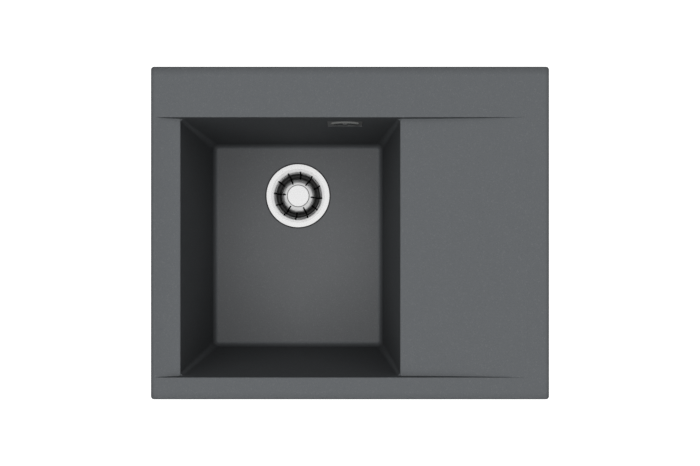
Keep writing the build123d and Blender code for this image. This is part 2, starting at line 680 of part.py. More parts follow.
def along_spigot(radius, start, length):
    """A cylinder on the upper spigot's upright axis, measured down from the head."""
    return disc(SPIGOT_X, SPIGOT_Y, HEAD_LOW_Z - start - length, radius, length)


def spigot_set(place, root):
    """A threaded collar, the spigot in front of it and the bore through both."""
    collar = place(SPIGOT_COLLAR_R, -root, root + SPIGOT_COLLAR_LENGTH)
    spigot = place(SPIGOT_R, 0.0, SPIGOT_LENGTH)
    bore = place(SPIGOT_R - SPIGOT_T, -root, root + SPIGOT_LENGTH + LAP)
    return collar, spigot, bore


def from_inlet(radius, start, length):
    """A cylinder on the inlet's axis, measured from the waste body's wall."""
    return along_inlet(radius, WASTE_WALL_R + start, length)


def inlet_pieces():
    return spigot_set(from_inlet, 2 * WASTE_T)


def hose_nut(place):
    """A nut with grip grooves, over the collar's thread and the hose's end."""
    start = SPIGOT_COLLAR_LENGTH - NUT_OVERLAP
    shoulder = SPIGOT_COLLAR_LENGTH + HOSE_WASHER_T
    nut = place(NUT_R, start, NUT_LENGTH)
    nut = nut - place(SPIGOT_COLLAR_R + FIT_GAP, start - OVERCUT, shoulder - start + OVERCUT)
    return nut - place(HOSE_CREST_R + FIT_GAP, start - OVERCUT, NUT_LENGTH + 2 * OVERCUT)


def grip_grooves(place_groove):
    """Grooves round a nut, for a hand's grip."""
    grooves = []
    start = SPIGOT_COLLAR_LENGTH - NUT_OVERLAP - OVERCUT
    for index in range(NUT_GRIP_COUNT):
        grooves.append(place_groove(360 * index / NUT_GRIP_COUNT, start, NUT_LENGTH + 2 * OVERCUT))
    return grooves


def upper_groove(angle, start, length):
    reach = NUT_R + NUT_GRIP_DEPTH
    x = SPIGOT_X + reach * cos(radians(angle))
    y = SPIGOT_Y + reach * sin(radians(angle))
    return disc(x, y, HEAD_LOW_Z - start - length, 2 * NUT_GRIP_DEPTH, length)


def lower_groove(angle, start, length):
    spot = Pos(DRAIN_X, DRAIN_Y, INLET_Z) * Rot(0, 0, HOSE_ANGLE) * Rot(0, 90, 0)
    spot = spot * Rot(0, 0, angle) * Pos(NUT_R + NUT_GRIP_DEPTH, 0, WASTE_WALL_R + start)
    return spot * extrude(Circle(2 * NUT_GRIP_DEPTH), length)


def hose_washer(place):
    ring = place(SPIGOT_COLLAR_R - FIT_GAP, SPIGOT_COLLAR_LENGTH, HOSE_WASHER_T)
    bore = place(SPIGOT_R + FIT_GAP, SPIGOT_COLLAR_LENGTH - OVERCUT, HOSE_WASHER_T + 2 * OVERCUT)
    return ring - bore


def hose_place(distance):
    """The hose's point and direction, a distance along it from the waste body."""
    start = WASTE_WALL_R + HOSE_GAP
    if distance <= HOSE_LEVEL_RUN:
        reach, z, tilt = start + distance, INLET_Z, 0.0
    elif distance <= HOSE_LEVEL_RUN + HOSE_BEND_LENGTH:
        tilt = (distance - HOSE_LEVEL_RUN) / HOSE_BEND_R
        reach = start + HOSE_LEVEL_RUN + HOSE_BEND_R * sin(tilt)
        z = INLET_Z + HOSE_BEND_R * (1 - cos(tilt))
    else:
        tilt = radians(90)
        reach = HOSE_REACH
        z = INLET_Z + HOSE_BEND_R + distance - HOSE_LEVEL_RUN - HOSE_BEND_LENGTH
    turn = radians(HOSE_ANGLE)
    point = (DRAIN_X + reach * cos(turn), DRAIN_Y + reach * sin(turn), z)
    heading = (cos(tilt) * cos(turn), cos(tilt) * sin(turn), sin(tilt))
    return point, heading


def hose_circle(distance, radius):
    """A circle square to the hose, with a steady sideways X axis."""
    point, heading = hose_place(distance)
    sideways = (-sin(radians(HOSE_ANGLE)), cos(radians(HOSE_ANGLE)), 0)
    return Plane(origin=point, x_dir=sideways, z_dir=heading) * Circle(radius)


def overflow_hose():
    """A ribbed hose with plain cuffs and a smooth bore."""
    rib_room = HOSE_LENGTH - 2 * HOSE_CUFF_LENGTH
    rib_count = int(rib_room / HOSE_PITCH)
    pitch = rib_room / rib_count
    outside = [hose_circle(0.0, HOSE_CREST_R)]
    for index in range(rib_count):
        start = HOSE_CUFF_LENGTH + index * pitch
        outside.append(hose_circle(start, HOSE_CREST_R))
        outside.append(hose_circle(start + 0.25 * pitch, HOSE_ROOT_R))
        outside.append(hose_circle(start + 0.5 * pitch, HOSE_ROOT_R))
        outside.append(hose_circle(start + 0.75 * pitch, HOSE_CREST_R))
    outside.append(hose_circle(HOSE_LENGTH - HOSE_CUFF_LENGTH, HOSE_CREST_R))
    outside.append(hose_circle(HOSE_LENGTH, HOSE_CREST_R))
    hose = loft(outside, ruled=True)
    first, _ = hose_place(0.0)
    bend_in, _ = hose_place(HOSE_LEVEL_RUN)
    bend_mid, _ = hose_place(HOSE_LEVEL_RUN + HOSE_BEND_LENGTH / 2)
    bend_out, _ = hose_place(HOSE_LEVEL_RUN + HOSE_BEND_LENGTH)
    last, _ = hose_place(HOSE_LENGTH)
    path = Line(first, bend_in) + ThreePointArc(bend_in, bend_mid, bend_out) + Line(bend_out, last)
    bore = sweep(hose_circle(0.0, HOSE_BORE_R), path=path)
    return hose - bore


def lens_face(width, height):
    """A lens with blunt ends and arched upper and lower edges."""
    blunt = height / 2 - LENS_RISE
    upper = ThreePointArc((-width / 2, blunt), (0, height / 2), (width / 2, blunt))
    lower = ThreePointArc((width / 2, -blunt), (0, -height / 2), (-width / 2, -blunt))
    ends = Line((width / 2, blunt), (width / 2, -blunt)) + Line((-width / 2, -blunt), (-width / 2, blunt))
    return make_face(upper + lower + ends)


def cover_outline(spread):
    """The cover's rounded rectangle, grown by a distance on every side."""
    width = COVER_WIDTH + 2 * spread
    height = COVER_HEIGHT + 2 * spread
    return RectangleRounded(width, height, COVER_CORNER_R + spread)


def overflow_cover():
    """A thin plate sunk in the wall, with a lens-shaped mouth, a hood over it and a bar for the screw."""
    mouth = lens_face(LENS_WIDTH - 2 * LENS_LIP, LENS_HEIGHT - 2 * LENS_LIP)
    plate = overflow_prism(cover_outline(0) - mouth, COVER_SINK, COVER_BACK)
    above = Pos(0, HOOD_FOOT + LENS_HEIGHT / 2) * Rectangle(2 * LENS_WIDTH, LENS_HEIGHT)
    arch = (lens_face(LENS_WIDTH, LENS_HEIGHT) - mouth) & above
    hood = overflow_prism(arch, -LENS_PROUD, COVER_BACK)
    front = []
    for edge in hood.edges():
        proud = OVERFLOW_PLANE.to_local_coords(edge @ 0.5).Z
        if proud > LENS_PROUD / 2 and edge.length > LENS_LIP + LOOSE_GAP:
            front.append(edge)
    hood = chamfer(front, LENS_LIP / 4)
    bar = overflow_prism(Rectangle(COVER_BAR_WIDTH, LENS_HEIGHT - LENS_LIP), COVER_SINK, COVER_BACK)
    web_height = OVERFLOW_SLOT_HEIGHT - 2 * LOOSE_GAP
    web_back = COVER_BACK + COVER_BAR_DEPTH
    web = overflow_prism(Rectangle(COVER_BAR_WIDTH, web_height), COVER_SINK, web_back)
    pocket_back = COVER_SINK + COVER_SCREW_HEAD_T
    pocket = overflow_prism(Circle(COVER_SCREW_HEAD_R + LOOSE_GAP), COVER_SINK - OVERCUT, pocket_back)
    hole = overflow_prism(Circle(COVER_SCREW_R + FIT_GAP), COVER_SINK, web_back + OVERCUT)
    return plate + hood + bar + web - pocket - hole


def overflow_gasket():
    inset = HEAD_GASKET_INSET
    ring = RectangleRounded(HEAD_WIDTH - 2 * inset, HEAD_HEIGHT - 2 * inset, HEAD_CORNER_R - inset)
    ring = ring - SlotOverall(OVERFLOW_SLOT_WIDTH, OVERFLOW_SLOT_HEIGHT)
    return overflow_prism(ring, WALL_T, WALL_T + HEAD_GASKET_T)


def overflow_head():
    """A chamber behind the wall with a post for the screw and a spigot that points down."""
    shell = RectangleRounded(HEAD_WIDTH, HEAD_HEIGHT, HEAD_CORNER_R)
    head = overflow_prism(shell, HEAD_BACK, HEAD_BACK + HEAD_DEPTH)
    collar, spigot, bore = spigot_set(along_spigot, HEAD_HEIGHT / 3)
    head = head + collar + spigot
    room = SlotOverall(OVERFLOW_SLOT_WIDTH, HEAD_HEIGHT - 3 * HEAD_T)
    head = head - overflow_prism(room, HEAD_BACK - OVERCUT, HEAD_BACK + HEAD_DEPTH - HEAD_T)
    head = head - bore
    head = head + overflow_prism(Circle(HEAD_POST_R), WALL_T, HEAD_BACK + HEAD_DEPTH - HEAD_T / 2)
    bite = overflow_prism(Circle(COVER_SCREW_R), WALL_T - OVERCUT, WALL_T + COVER_SCREW_BITE + OVERCUT)
    return head - bite


def overflow_screw():
    """One screw through the cover's bar into the head's post. Its slotted head is flush with the cover."""
    seat = COVER_SINK + COVER_SCREW_HEAD_T
    head = overflow_prism(Circle(COVER_SCREW_HEAD_R), COVER_SINK, seat)
    shank = overflow_prism(Circle(COVER_SCREW_R - TIGHT_GAP), seat, WALL_T + COVER_SCREW_BITE)
    slot = Rectangle(2 * COVER_SCREW_HEAD_R, COVER_SCREW_HEAD_T / 2)
    cut = overflow_prism(slot, COVER_SINK - OVERCUT, COVER_SINK + COVER_SCREW_HEAD_T / 2)
    return head + shank - cut


def dowel(x, y):
    collar = disc(x, y, -CLAMP_BOSS_DEPTH - DOWEL_COLLAR_T, DOWEL_COLLAR_R, DOWEL_COLLAR_T)
    plug = disc(x, y, -CLAMP_BOSS_DEPTH, DOWEL_R, CLAMP_BOSS_DEPTH + DOWEL_TOP_Z)
    bore_r = CLAMP_SCREW_R + FIT_GAP / 2
    return collar + plug - disc(x, y, -CLAMP_BOSS_DEPTH - LAP, bore_r, CLAMP_BOSS_DEPTH + DOWEL_TOP_Z + LAP)


def clamp_screw(x, y):
    """The screw stands at its loosest, and its travel ends just short of the dowel's top."""
    head_z = JAW_Z - WASHER_T - CLAMP_HEAD_T
    tip_z = DOWEL_TOP_Z - CLAMP_TIP_GAP - CLAMP_TRAVEL
    shank = disc(x, y, head_z, CLAMP_SCREW_R, tip_z - head_z)
    head = disc(x, y, head_z, CLAMP_HEAD_R, CLAMP_HEAD_T)
    head = fillet(head.edges().group_by(Axis.Z)[0], CLAMP_HEAD_T / 3)
    bar = Rectangle(1.2 * CLAMP_HEAD_R, CLAMP_HEAD_T / 3)
    cross = bar + Rot(0, 0, 90) * bar
    return head + shank - Pos(x, y, head_z) * extrude(cross, CLAMP_HEAD_T / 2)


def clamp_washer(x, y):
    return tube(x, y, JAW_Z - WASHER_T, WASHER_R, CLAMP_SCREW_R + FIT_GAP, WASHER_T)


def clamp_jaw(x, y, stow_angle):
    """A flat arm with a hole at one end and an upturned, toothed tip at the other."""
    hub = extrude(Circle(JAW_HUB_R), JAW_T)
    arm = Pos(JAW_LENGTH / 2, 0) * Rectangle(JAW_LENGTH, JAW_WIDTH)
    jaw = hub + extrude(arm, JAW_T)
    tip_x = JAW_LENGTH - JAW_TIP_WIDTH
    tooth = JAW_TIP_WIDTH / 4
    top = JAW_T + JAW_RISE
    outline = Polyline(
        (tip_x - JAW_RISE / 2, JAW_T / 2),
        (JAW_LENGTH, JAW_T / 2),
        (JAW_LENGTH, top),
        (JAW_LENGTH - tooth, top - tooth),
        (JAW_LENGTH - 2 * tooth, top),
        (JAW_LENGTH - 3 * tooth, top - tooth),
        (tip_x, top),
        close=True,
    )
    jaw = jaw + extrude(Plane.XZ * make_face(outline), JAW_WIDTH / 2, both=True)
    jaw = jaw - extrude(Circle(CLAMP_SCREW_R + FIT_GAP), JAW_T)
    return Pos(x, y, JAW_Z) * Rot(0, 0, stow_angle) * jaw


nodes = {
    "sink_body": sink_body(),
    "flange_gasket": flange_gasket(),
    "strainer_flange": strainer_flange(),
    "strainer_screw": strainer_screw(),
    "strainer_basket": strainer_basket(),
    "basket_knob": basket_knob(),
    "basket_stem": basket_stem(),
    "basket_seal": basket_seal(),
    "body_gasket": body_gasket(),
    "waste_body": waste_body(),
    "screw_insert": screw_insert(),
    "overflow_cover": overflow_cover(),
    "overflow_screw": overflow_screw(),
    "overflow_gasket": overflow_gasket(),
    "overflow_head": overflow_head(),
    "overflow_hose": overflow_hose(),
    "hose_nut_upper": hose_nut(along_spigot) - grip_grooves(upper_groove),
    "hose_nut_lower": hose_nut(from_inlet) - grip_grooves(lower_groove),
    "hose_washer_upper": hose_washer(along_spigot),
    "hose_washer_lower": hose_washer(from_inlet),
}
for number, (clamp_x, clamp_y, stowed) in enumerate(CLAMPS, start=1):
    nodes[f"dowel_{number}"] = dowel(clamp_x, clamp_y)
    nodes[f"clamp_screw_{number}"] = clamp_screw(clamp_x, clamp_y)
    nodes[f"clamp_washer_{number}"] = clamp_washer(clamp_x, clamp_y)
    nodes[f"clamp_jaw_{number}"] = clamp_jaw(clamp_x, clamp_y, stowed)

os.makedirs("parts", exist_ok=True)
for name, solid in nodes.items():
    export_step(solid, f"parts/{name}.step")
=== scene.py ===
import json
import math

import bmesh
import bpy
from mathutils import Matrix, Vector


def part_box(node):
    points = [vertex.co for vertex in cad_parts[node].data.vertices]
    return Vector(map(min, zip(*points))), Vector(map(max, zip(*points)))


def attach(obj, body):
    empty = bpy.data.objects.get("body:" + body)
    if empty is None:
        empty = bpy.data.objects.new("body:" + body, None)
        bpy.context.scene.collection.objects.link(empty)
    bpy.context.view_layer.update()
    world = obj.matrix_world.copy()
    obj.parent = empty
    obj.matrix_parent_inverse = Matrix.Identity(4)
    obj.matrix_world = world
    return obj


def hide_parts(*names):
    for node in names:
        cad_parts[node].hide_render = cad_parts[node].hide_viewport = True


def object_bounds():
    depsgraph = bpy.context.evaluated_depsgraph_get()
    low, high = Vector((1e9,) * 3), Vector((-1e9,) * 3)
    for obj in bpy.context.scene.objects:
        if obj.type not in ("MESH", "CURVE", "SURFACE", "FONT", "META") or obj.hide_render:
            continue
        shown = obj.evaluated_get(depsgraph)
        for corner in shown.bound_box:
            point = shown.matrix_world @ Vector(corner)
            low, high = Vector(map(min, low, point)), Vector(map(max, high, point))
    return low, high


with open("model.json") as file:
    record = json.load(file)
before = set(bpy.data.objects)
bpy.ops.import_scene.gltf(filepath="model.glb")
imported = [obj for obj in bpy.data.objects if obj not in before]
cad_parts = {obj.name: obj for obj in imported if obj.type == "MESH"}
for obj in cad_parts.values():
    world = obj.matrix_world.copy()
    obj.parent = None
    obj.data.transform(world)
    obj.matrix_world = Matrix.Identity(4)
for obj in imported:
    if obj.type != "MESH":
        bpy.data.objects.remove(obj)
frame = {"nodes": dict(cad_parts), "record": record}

# A composite kitchen sink with one bowl and a drainboard, seen straight from above.
# All sizes are in metres, in the CAD frame: +X right, +Y back, +Z up.
MM = 0.001
CAD_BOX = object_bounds()
NODES = frame["nodes"]

# Camera
CAMERA_ABOVE_RIM = 1.203
CAMERA_FOCAL_MM = 40.477
CAMERA_SENSOR_MM = 36.0

# Light
KEY_WATTS = 248.0
KEY_WIDTH = 1.2
KEY_SHIFT = (-0.12, -0.03)
KEY_ABOVE_RIM = 5.0
AMBIENT = 0.03
BACKGROUND = 1.0

# Studio floor. Its glow makes up for the light that is missing, further from the lamp more than near.
STUDIO_WIDTH = 30.0
STUDIO_COLOUR = (0.86, 0.86, 0.86)
STUDIO_GLOW = (0.58, 1.0)
STUDIO_GLOW_REACH = (0.7, 2.5)

# Grains in the composite, cells per metre
GRAIN_SCALE = 2100.0
FLECK_SCALE = 620.0

# Painted shade on the bowl's leaning walls, by the upward part of the normal. The second also grows with
# depth.
WALL_SHADE = (
    (0.02, (1, 1, 1)), (0.09, (0.785, 0.79, 0.79)), (0.2, (0.785, 0.79, 0.79)), (0.7, (1, 1, 1)),
)
DEEP_WALL_SHADE = (
    (0.02, (1, 1, 1)), (0.09, (0.77, 0.77, 0.77)), (0.2, (0.77, 0.77, 0.77)), (0.7, (1, 1, 1)),
)

# Painted shade in the rounding at the bowl's foot, by the same, ending in a warmer floor for painted bounced
# light; and painted light and shade from left to right on the bowl's floor
FOOT_SHADE = (
    (0.2, (1, 1, 1)), (0.42, (0.56, 0.56, 0.56)), (0.66, (0.42, 0.42, 0.42)), (0.82, (0.43, 0.43, 0.43)),
    (0.91, (0.56, 0.56, 0.56)), (0.968, (0.76, 0.76, 0.76)), (0.997, (0.98, 0.955, 0.94)),
)
FOOT_HEIGHT = 14.0 * MM
BOWL_FLOOR_PAINTED_LIGHT = (0.87, 1.06)
BOWL_FLOOR_REACH = 120.0 * MM

# Painted shade by how open a spot of the composite is: darker in hollows and corners
SHELTER_REACH = 160.0 * MM
SHELTER_SHADE = ((0.4, (0.6, 0.6, 0.6)), (0.9, (1, 1, 1)))

# Painted shade along the rim: axis, side, width of the band, and the tone at its outer edge
RIM_PAINTED_SHADE = (
    ("X", -1, 6.5 * MM, 0.6),
    ("X", 1, 6.5 * MM, 0.6),
    ("Y", -1, 11.0 * MM, 0.84),
    ("Y", 1, 14.0 * MM, 0.68),
)

# Painted shade in the line round the knob, painted shade and dark reflection in the basket's trough (tones
# by the distance from the drain's axis), and painted shade deep in the cup (tones by the depth below the
# flange). Distances in millimetres.
STEEL_SPAN = 60.0 * MM
KNOB_LINE_SHADE = ((18.8, 1.0), (19.1, 0.22), (19.8, 0.22), (20.3, 0.8), (23.5, 0.86))
TROUGH_SHADE = (
    (26.5, 0.95), (28.2, 0.84), (30.0, 0.65), (31.6, 0.3), (33.0, 0.055), (36.5, 0.055),
    (37.5, 0.17), (38.8, 0.6), (40.4, 1.0), (42.3, 0.85), (45.5, 1.0),
)
DEEP_STEEL_SHADE = ((21.4, 1.0), (22.8, 0.02))

# Steel is softer in the basket's bends than on the flat rings
BEND_BAND = ((20.0, 0.0), (22.0, 1.0), (45.0, 1.0), (47.0, 0.0))
BEND_ROUGHER = 0.17

# Threads. The crest and foot are half widths of the ridge, as shares of the pitch.
CLAMP_COUNT = 4
CLAMP_THREAD_PITCH = 2.0 * MM
CLAMP_THREAD_START = 3.5 * MM
CLAMP_THREAD_TIP = 1.0 * MM
CLAMP_CORE_SHARE = 0.82
CLAMP_ROOT_SHARE = 0.98
CLAMP_SHANK_BAND = (0.5, 1.05)
CLAMP_TIP_DEPTH = 0.1 * MM
HAIR = 0.01 * MM
OUTLET_THREAD_PITCH = 2.31 * MM
OUTLET_THREAD_HEIGHT = 0.7 * MM
OUTLET_THREAD_MARGIN = 2.5 * MM
OUTLET_THREAD_SUNK = 0.05 * MM
THREAD_STEPS = 32
THREAD_CREST = 0.08
THREAD_FOOT = 0.42


def middle(box):
    low, high = box
    return (low + high) / 2


RIM_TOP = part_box("sink_body")[1].z
DRAIN = middle(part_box("basket_knob"))
FLANGE_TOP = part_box("strainer_flange")[1].z


class Look:
    """A material's node tree, with short calls that add nodes and join them."""

    def __init__(self, name):
        self.material = bpy.data.materials.new(name)
        self.material.use_nodes = True
        self.tree = self.material.node_tree
        self.tree.nodes.clear()
        self.output = self.node("ShaderNodeOutputMaterial")
        source = self.node("ShaderNodeTexCoord")
        self.coords = source.outputs["Object"]
        self.facing = source.outputs["Normal"]

    def node(self, kind, inputs=None, **settings):
        made = self.tree.nodes.new(kind)
        for key, value in settings.items():
            setattr(made, key, value)
        for key, value in (inputs or {}).items():
            self.set(made.inputs[key], value)
        return made

    def set(self, socket, value):
        if isinstance(value, bpy.types.NodeSocket):
            self.tree.links.new(value, socket)
        else:
            socket.default_value = value

    def part(self, vector, axis):
        """One axis of a vector."""
        return self.node("ShaderNodeSeparateXYZ", {0: vector}).outputs[axis]

    def maths(self, operation, first, second=0.0, clamp=False):
        made = self.node("ShaderNodeMath", {0: first, 1: second}, operation=operation, use_clamp=clamp)
        return made.outputs[0]

    def span(self, value, low, high):
        """Turns a value from 0 to 1 into one from low to high."""
        made = self.node("ShaderNodeMapRange", {"Value": value, "To Min": low, "To Max": high})
        return made.outputs["Result"]

    def fade(self, value, start, end):
        """0 where a value is at or before its start, 1 at or past its end."""
        made = self.node("ShaderNodeMapRange", {"Value": value, "From Min": start, "From Max": end})
        return made.outputs["Result"]

    def noise(self, scale, detail=2.0, roughness=0.5, vector=None):
        made = self.node(
            "ShaderNodeTexNoise",
            {"Vector": vector or self.coords, "Scale": scale, "Detail": detail, "Roughness": roughness},
        )
        return made.outputs["Fac"]

    def cells(self, scale, output="Color"):
        return self.node("ShaderNodeTexVoronoi", {"Vector": self.coords, "Scale": scale}).outputs[output]

    def cell_values(self, scale, channel):
        """One random value for each cell."""
        return self.node("ShaderNodeSeparateColor", {0: self.cells(scale)}).outputs[channel]

    def around(self, centre):
        """Distance from an upright axis."""
        shifted = self.node("ShaderNodeVectorMath", {0: self.coords, 1: centre}, operation="SUBTRACT")
        parts = [self.part(shifted.outputs[0], axis) for axis in "XY"]
        squares = [self.maths("MULTIPLY", distance, distance) for distance in parts]
        return self.maths("SQRT", self.maths("ADD", *squares))

    def shelter(self, reach):
        """How open a spot is to its surroundings within a reach: 1 in the open, 0 deep in a gap."""
        return self.node("ShaderNodeAmbientOcclusion", {"Distance": reach}, samples=8).outputs["AO"]

    def ramp(self, factor, stops):
        made = self.node("ShaderNodeValToRGB", {"Fac": factor})
        elements = made.color_ramp.elements
        while len(elements) < len(stops):
            elements.new(0.5)
        for element, (position, colour) in zip(elements, stops):
            element.position = position
            element.color = (*colour, 1.0)
        return made.outputs["Color"]

    def shade_by(self, distance, stops):
        """A grey that follows a distance, from stops in millimetres."""
        share = self.maths("DIVIDE", distance, STEEL_SPAN, clamp=True)
        return self.ramp(share, [(away * MM / STEEL_SPAN, (tone, tone, tone)) for away, tone in stops])

    def mix(self, factor, first, second, blend="MIX"):
        made = self.node("ShaderNodeMix", data_type="RGBA", blend_type=blend)
        self.set(made.inputs[0], factor)
        for index, value in ((6, first), (7, second)):
            self.set(made.inputs[index], value if isinstance(value, bpy.types.NodeSocket) else (*value, 1.0))
        return made.outputs[2]

    def dim(self, colour, shade, amount=1.0):
        """The colour multiplied by a shade, as far as an amount from 0 to 1 says."""
        return self.mix(amount, colour, shade, "MULTIPLY")

    def tint(self, colour, tone):
        """The colour made lighter or darker by a tone about 1."""
        grey = self.node("ShaderNodeCombineColor", {0: tone, 1: tone, 2: tone}).outputs[0]
        return self.dim(colour, grey)

    def bump(self, height, distance, strength=1.0, under=None):
        made = self.node("ShaderNodeBump", {"Height": height, "Distance": distance, "Strength": strength})
        if under is not None:
            self.set(made.inputs["Normal"], under)
        return made.outputs["Normal"]

    def shader(self, **inputs):
        """The closing shader, with plain numbers set on its own sockets."""
        made = self.node("ShaderNodeBsdfPrincipled")
        for key, value in inputs.items():
            if isinstance(value, tuple):
                value = (*value, 1.0)
            self.set(made.inputs[key.replace("_", " ")], value)
        self.tree.links.new(made.outputs[0], self.output.inputs["Surface"])
        return self.material


def composite_grain(look):
    """Fine light and dark grains, a few pale flecks and a faint mottle."""
    grain = look.ramp(
        look.cell_values(GRAIN_SCALE, 0),
        (
            (0.0, (0.104, 0.112, 0.119)),
            (0.16, (0.119, 0.127, 0.134)),
            (0.55, (0.125, 0.132, 0.139)),
            (0.86, (0.130, 0.137, 0.144)),
            (1.0, (0.149, 0.157, 0.164)),
        ),
    )
    fleck = look.ramp(look.cell_values(FLECK_SCALE, 1), ((0.93, (0, 0, 0)), (0.96, (0.3, 0.3, 0.3))))
    colour = look.mix(fleck, grain, (0.178, 0.186, 0.193))
    return look.tint(colour, look.span(look.noise(38.0, 3.0), 0.985, 1.015))


def bowl_painted_shade(look, colour):
    """Painted shade on the leaning walls and in the rounding at their foot, and painted light and shade on a
    floor that lightens to the right.
    """
    height = look.part(look.coords, "Z")
    upward = look.part(look.facing, "Z")
    # Painted shade on the leaning walls, growing towards the foot.
    colour = look.dim(colour, look.ramp(upward, WALL_SHADE))
    colour = look.dim(colour, look.ramp(upward, DEEP_WALL_SHADE), look.fade(height, RIM_TOP, FLANGE_TOP))
    # Painted shade in the rounding at the foot, and a warmer floor for painted bounced light.
    foot = look.fade(height, FLANGE_TOP + FOOT_HEIGHT, FLANGE_TOP + FOOT_HEIGHT / 2)
    colour = look.dim(colour, look.ramp(upward, FOOT_SHADE), foot)
    # Painted light and shade on the bowl's floor: darker at the left, lighter at the right.
    across = look.fade(look.part(look.coords, "X"), DRAIN.x - BOWL_FLOOR_REACH, DRAIN.x + BOWL_FLOOR_REACH)
    return look.mix(foot, colour, look.tint(colour, look.span(across, *BOWL_FLOOR_PAINTED_LIGHT)))


def rim_painted_shade(look, colour):
    """A band of painted shade along each edge of the rim."""
    # Each band is painted shade, darkest at the rim's outer edge.
    for axis, side, width, tone in RIM_PAINTED_SHADE:
        edge = CAD_BOX[1]["XY".index(axis)]
        outward = look.maths("MULTIPLY", look.part(look.coords, axis), side)
        colour = look.tint(colour, look.span(look.fade(outward, edge, edge - width), tone, 1.0))
    return colour


def composite_look():
    """Matte mineral composite with a cast skin, painted light and shade in the bowl, and painted shade in
    hollows and along the rim.
    """
    look = Look("composite")
    colour = bowl_painted_shade(look, composite_grain(look))
    # Painted shade in hollows and corners, by how open each spot is.
    colour = look.dim(colour, look.ramp(look.shelter(SHELTER_REACH), SHELTER_SHADE))
    colour = rim_painted_shade(look, colour)
    normal = look.bump(look.noise(2200.0, 3.0, 0.6), 0.02 * MM, 0.5)
    normal = look.bump(look.cells(GRAIN_SCALE, "Distance"), 0.02 * MM, 0.35, normal)
    roughness = look.span(look.noise(300.0, 3.0), 0.62, 0.74)
    return look.shader(Base_Color=colour, Roughness=roughness, Normal=normal, Specular_IOR_Level=0.1)


def steel_look():
    """Pressed and turned stainless steel, with faint rings about the drain's axis and painted shade and dark
    reflection in its hollows.
    """
    look = Look("steel")
    radius = look.around(tuple(DRAIN))
    height = look.part(look.coords, "Z")
    along = look.node("ShaderNodeCombineXYZ", {"X": radius, "Z": height}).outputs[0]
    rings = look.noise(3500.0, 3.0, 0.6, along)
    smudge = look.noise(70.0, 4.0, 0.6)
    depth = look.maths("SUBTRACT", FLANGE_TOP, height)
    colour = look.tint((0.83, 0.83, 0.83), look.span(smudge, 0.97, 1.02))
    # Painted shade round the knob and deep in the cup, painted shade and dark reflection in the trough.
    colour = look.dim(colour, look.shade_by(radius, KNOB_LINE_SHADE + TROUGH_SHADE))
    colour = look.dim(colour, look.shade_by(depth, DEEP_STEEL_SHADE))
    roughness = look.maths("ADD", look.span(rings, 0.21, 0.31), look.span(smudge, -0.03, 0.03))
    rougher = look.span(look.shade_by(radius, BEND_BAND), 0.0, BEND_ROUGHER)
    roughness = look.maths("ADD", roughness, rougher)
    normal = look.bump(rings, 0.004 * MM, 0.5)
    return look.shader(Base_Color=colour, Metallic=1.0, Roughness=roughness, Normal=normal)


def plated_look():
    """Zinc-plated steel: a cool grey metal with a faint spangle and small scuffs."""
    look = Look("screw_steel")
    colour = look.ramp(look.cell_values(700.0, 0), ((0.0, (0.42, 0.43, 0.44)), (1.0, (0.62, 0.62, 0.60))))
    roughness = look.span(look.noise(900.0, 3.0), 0.28, 0.5)
    normal = look.bump(look.noise(1800.0, 2.0), 0.02 * MM, 0.4)
    return look.shader(Base_Color=colour, Metallic=1.0, Roughness=roughness, Normal=normal)


def moulded_look(name, base, spread, rough):
    """Moulded plastic: an even colour with a faint flow mottle and a fine spark-eroded skin."""
    look = Look(name)
    dark = tuple(channel * (1 - spread) for channel in base)
    light = tuple(channel * (1 + spread) for channel in base)
    colour = look.ramp(look.noise(45.0, 3.0), ((0.3, dark), (0.7, light)))
    roughness = look.span(look.noise(500.0, 2.0), rough - 0.06, rough + 0.06)
    normal = look.bump(look.noise(2600.0, 2.0), 0.02 * MM, 0.5)
    return look.shader(Base_Color=colour, Roughness=roughness, Normal=normal)


def rubber_look():
    """Black rubber with a dusty bloom."""
    look = Look("rubber")
    bloom = look.noise(260.0, 4.0, 0.6)
    colour = look.ramp(bloom, ((0.35, (0.012, 0.012, 0.013)), (0.75, (0.032, 0.032, 0.034))))
    roughness = look.span(bloom, 0.6, 0.85)
    normal = look.bump(look.noise(1500.0, 3.0), 0.03 * MM, 0.5)
    return look.shader(Base_Color=colour, Roughness=roughness, Normal=normal)


def brass_look():
    """Turned brass with a slight tarnish and fine tool marks."""
    look = Look("brass")
    tarnish = look.noise(400.0, 3.0)
    colour = look.ramp(tarnish, ((0.3, (0.50, 0.34, 0.13)), (0.7, (0.72, 0.52, 0.22))))
    roughness = look.span(tarnish, 0.25, 0.45)
    normal = look.bump(look.noise(2400.0, 2.0), 0.01 * MM, 0.4)
    return look.shader(Base_Color=colour, Metallic=1.0, Roughness=roughness, Normal=normal)


LOOKS = {
    "composite": composite_look(),
    "steel": steel_look(),
    "screw_steel": plated_look(),
    "rubber": rubber_look(),
    "white_plastic": moulded_look("white_plastic", (0.66, 0.66, 0.64), 0.03, 0.42),
    "dark_plastic": moulded_look("dark_plastic", (0.115, 0.118, 0.116), 0.08, 0.5),
    "hose_plastic": moulded_look("hose_plastic", (0.40, 0.40, 0.39), 0.04, 0.48),
    "brass": brass_look(),
}


def dress(piece, slot):
    """Gives a piece one material by its slot's name."""
    piece.data.materials.clear()
    piece.data.materials.append(LOOKS[slot])


def dress_nodes():
    for subpart in frame["record"]["subparts"]:
        dress(NODES[subpart["node"]], subpart["material_slot"])


def mesh_from(work, name):
    """Turns bmesh work into a mesh and frees it."""
    mesh = bpy.data.meshes.new(name)
    work.to_mesh(mesh)
    work.free()
    return mesh


def new_piece(name, work, slot, body):
    """A dressed piece with outward normals that moves with a body."""
    bmesh.ops.recalc_face_normals(work, faces=work.faces)
    piece = bpy.data.objects.new(name, mesh_from(work, name))
    bpy.context.scene.collection.objects.link(piece)
    dress(piece, slot)
    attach(piece, body)
    return piece


